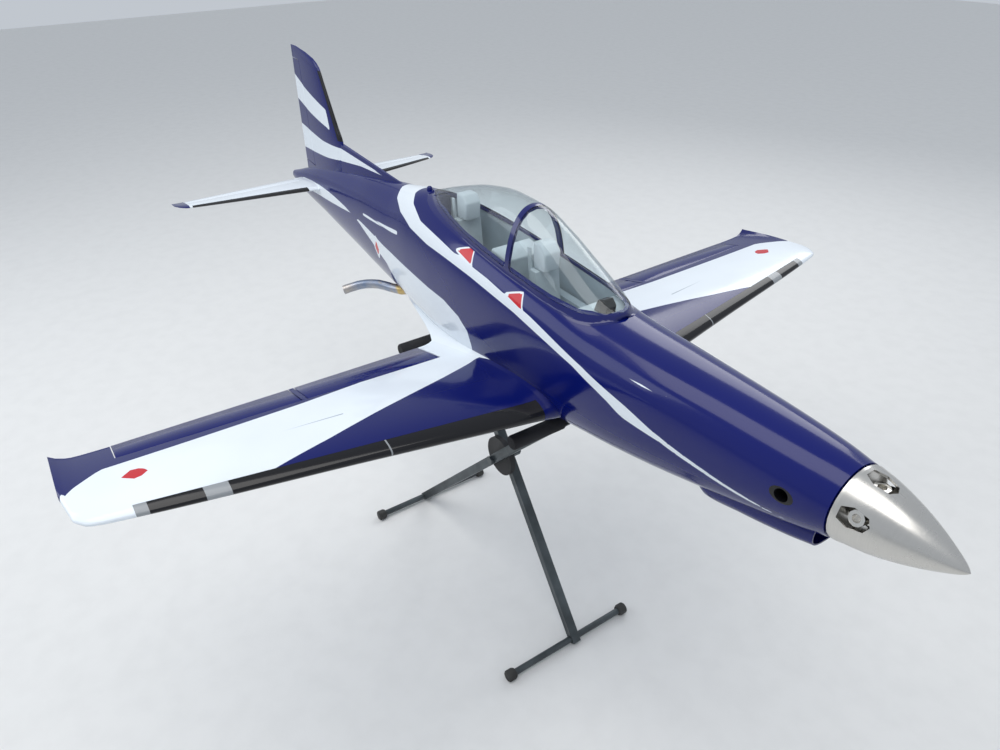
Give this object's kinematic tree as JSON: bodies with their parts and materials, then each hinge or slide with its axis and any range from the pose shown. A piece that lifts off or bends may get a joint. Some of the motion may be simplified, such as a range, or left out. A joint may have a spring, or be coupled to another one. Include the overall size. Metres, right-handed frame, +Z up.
{
  "type": "rc model aeroplane on stand",
  "caption": "Large radio-controlled tandem-seat turboprop trainer with hinged control surfaces and side-opening canopy, resting on a folding X display stand.",
  "frame": {"origin": "on the floor under the middle of the object's bounding box", "axes": "+X towards the spinner tip, +Y towards the port wing tip, +Z up"},
  "size_m": [2.479, 2.024, 1.38],
  "materials": {
    "navy_gloss": "deep navy gloss lacquer over composite skin",
    "white_gloss": "cool white gloss lacquer",
    "interior_grey": "light grey matt",
    "seat_pale": "pale grey satin",
    "boot_black": "black, glossy",
    "canopy_clear": "clear moulded plastic",
    "sight_smoke": "smoked display housing",
    "spinner_satin": "satin turned",
    "hub_polished": "polished",
    "stand_steel": "dark grey satin coat, worn",
    "foot_rubber": "worn black rubber",
    "bar_foam": "closed-cell foam sleeve",
    "pipe_tinted": "heat-tinted stainless",
    "ply": "bare birch ply",
    "carbon": "carbon tube"
  },
  "bodies": {
    "stand_frame": {"near_leg": "stand_steel", "near_foot_bar": "stand_steel", "near_foot_cap_right": "foot_rubber", "near_foot_cap_left": "foot_rubber", "rear_top_bar": "stand_steel", "rear_foam_right": "bar_foam", "rear_foam_left": "bar_foam", "clutch_disc": "boot_black", "pivot_bolt": "stand_steel"},
    "far_frame": {"far_leg": "stand_steel", "far_foot_bar": "stand_steel", "far_foot_cap_right": "foot_rubber", "far_foot_cap_left": "foot_rubber", "front_top_bar": "stand_steel", "front_foam_right": "bar_foam", "front_foam_left": "bar_foam"},
    "airframe": {"fuselage_shell": "navy_gloss", "chin_intake": "navy_gloss", "cockpit_tub": "interior_grey", "front_seat": "seat_pale", "front_headbox": "white_gloss", "rear_seat": "seat_pale", "rear_headbox": "white_gloss", "front_coaming": "seat_pale", "rear_coaming": "seat_pale", "sight_unit": "sight_smoke", "console_right": "interior_grey", "console_left": "interior_grey", "antenna_dome": "navy_gloss", "firewall": "ply", "turbine_engine": "spinner_satin", "fuel_tank": "seat_pale", "wing_joiner": "carbon", "fin": "navy_gloss", "fin_boot": "boot_black", "exhaust_pipe_right": "pipe_tinted", "exhaust_pipe_left": "pipe_tinted", "wing_right": "white_gloss", "wing_left": "white_gloss", "wing_boot_right": "boot_black", "wing_boot_left": "boot_black", "tailplane_right": "white_gloss", "tailplane_left": "white_gloss", "tail_boot_right": "boot_black", "tail_boot_left": "boot_black"},
    "canopy": {"canopy_glass": "canopy_clear", "canopy_frame": "navy_gloss"},
    "spinner": {"spinner_cone": "spinner_satin", "spinner_backplate": "spinner_satin", "propeller_hub": "hub_polished", "drive_shaft": "stand_steel"},
    "rudder": {"rudder": "navy_gloss"},
    "flap_right": {"flap_right": "navy_gloss"},
    "flap_left": {"flap_left": "navy_gloss"},
    "aileron_right": {"aileron_right": "navy_gloss"},
    "aileron_left": {"aileron_left": "navy_gloss"},
    "elevator_right": {"elevator_right": "white_gloss"},
    "elevator_left": {"elevator_left": "white_gloss"}
  },
  "joints": [
    {"name": "stand_spread", "type": "hinge", "parent": "stand_frame", "child": "far_frame", "pos_m": [0.0945, 0, 0.465], "axis": [0, 1, 0], "range_deg": [0, 30]},
    {"name": "airframe_lift", "type": "slide", "parent": "stand_frame", "child": "airframe", "axis": [0, 0, 1], "range_m": [0, 0.2]},
    {"name": "canopy_swing", "type": "hinge", "parent": "airframe", "child": "canopy", "pos_m": [0.1695, -0.086, 1.095], "axis": [1, 0, 0], "range_deg": [0, 80]},
    {"name": "spinner_turn", "type": "hinge", "parent": "airframe", "child": "spinner", "pos_m": [1.0895, 0, 1], "axis": [1, 0, 0], "continuous": true},
    {"name": "aileron_right_swing", "type": "hinge", "parent": "airframe", "child": "aileron_right", "pos_m": [0.07459, -0.516, 0.82972], "axis": [0.0122, 0.999, -0.0426], "range_deg": [-20, 20]},
    {"name": "aileron_left_swing", "type": "hinge", "parent": "airframe", "child": "aileron_left", "pos_m": [0.07459, 0.516, 0.82972], "axis": [-0.0122, 0.999, 0.0426], "range_deg": [-20, 20]},
    {"name": "flap_right_swing", "type": "hinge", "parent": "airframe", "child": "flap_right", "pos_m": [0.07708, -0.165, 0.81487], "axis": [-0.0069, -0.9991, 0.0422], "range_deg": [0, 35]},
    {"name": "flap_left_swing", "type": "hinge", "parent": "airframe", "child": "flap_left", "pos_m": [0.07708, 0.165, 0.81487], "axis": [0.0069, -0.9991, -0.0422], "range_deg": [0, 35]},
    {"name": "elevator_right_swing", "type": "hinge", "parent": "airframe", "child": "elevator_right", "pos_m": [-1.0495, -0.052, 0.9451], "axis": [0.0368, 0.9993, -0.0023], "range_deg": [-20, 20]},
    {"name": "elevator_left_swing", "type": "hinge", "parent": "airframe", "child": "elevator_left", "pos_m": [-1.0495, 0.052, 0.9451], "axis": [-0.0368, 0.9993, 0.0023], "range_deg": [-20, 20]},
    {"name": "rudder_swing", "type": "hinge", "parent": "airframe", "child": "rudder", "pos_m": [-1.0005, 0, 1.01], "axis": [-0.0785, 0, 0.9969], "range_deg": [-25, 25]}
  ],
  "couplings": [
    {"joint": "aileron_left_swing", "follows": "aileron_right_swing", "ratio": -1},
    {"joint": "flap_left_swing", "follows": "flap_right_swing", "ratio": 1},
    {"joint": "elevator_left_swing", "follows": "elevator_right_swing", "ratio": 1}
  ]
}
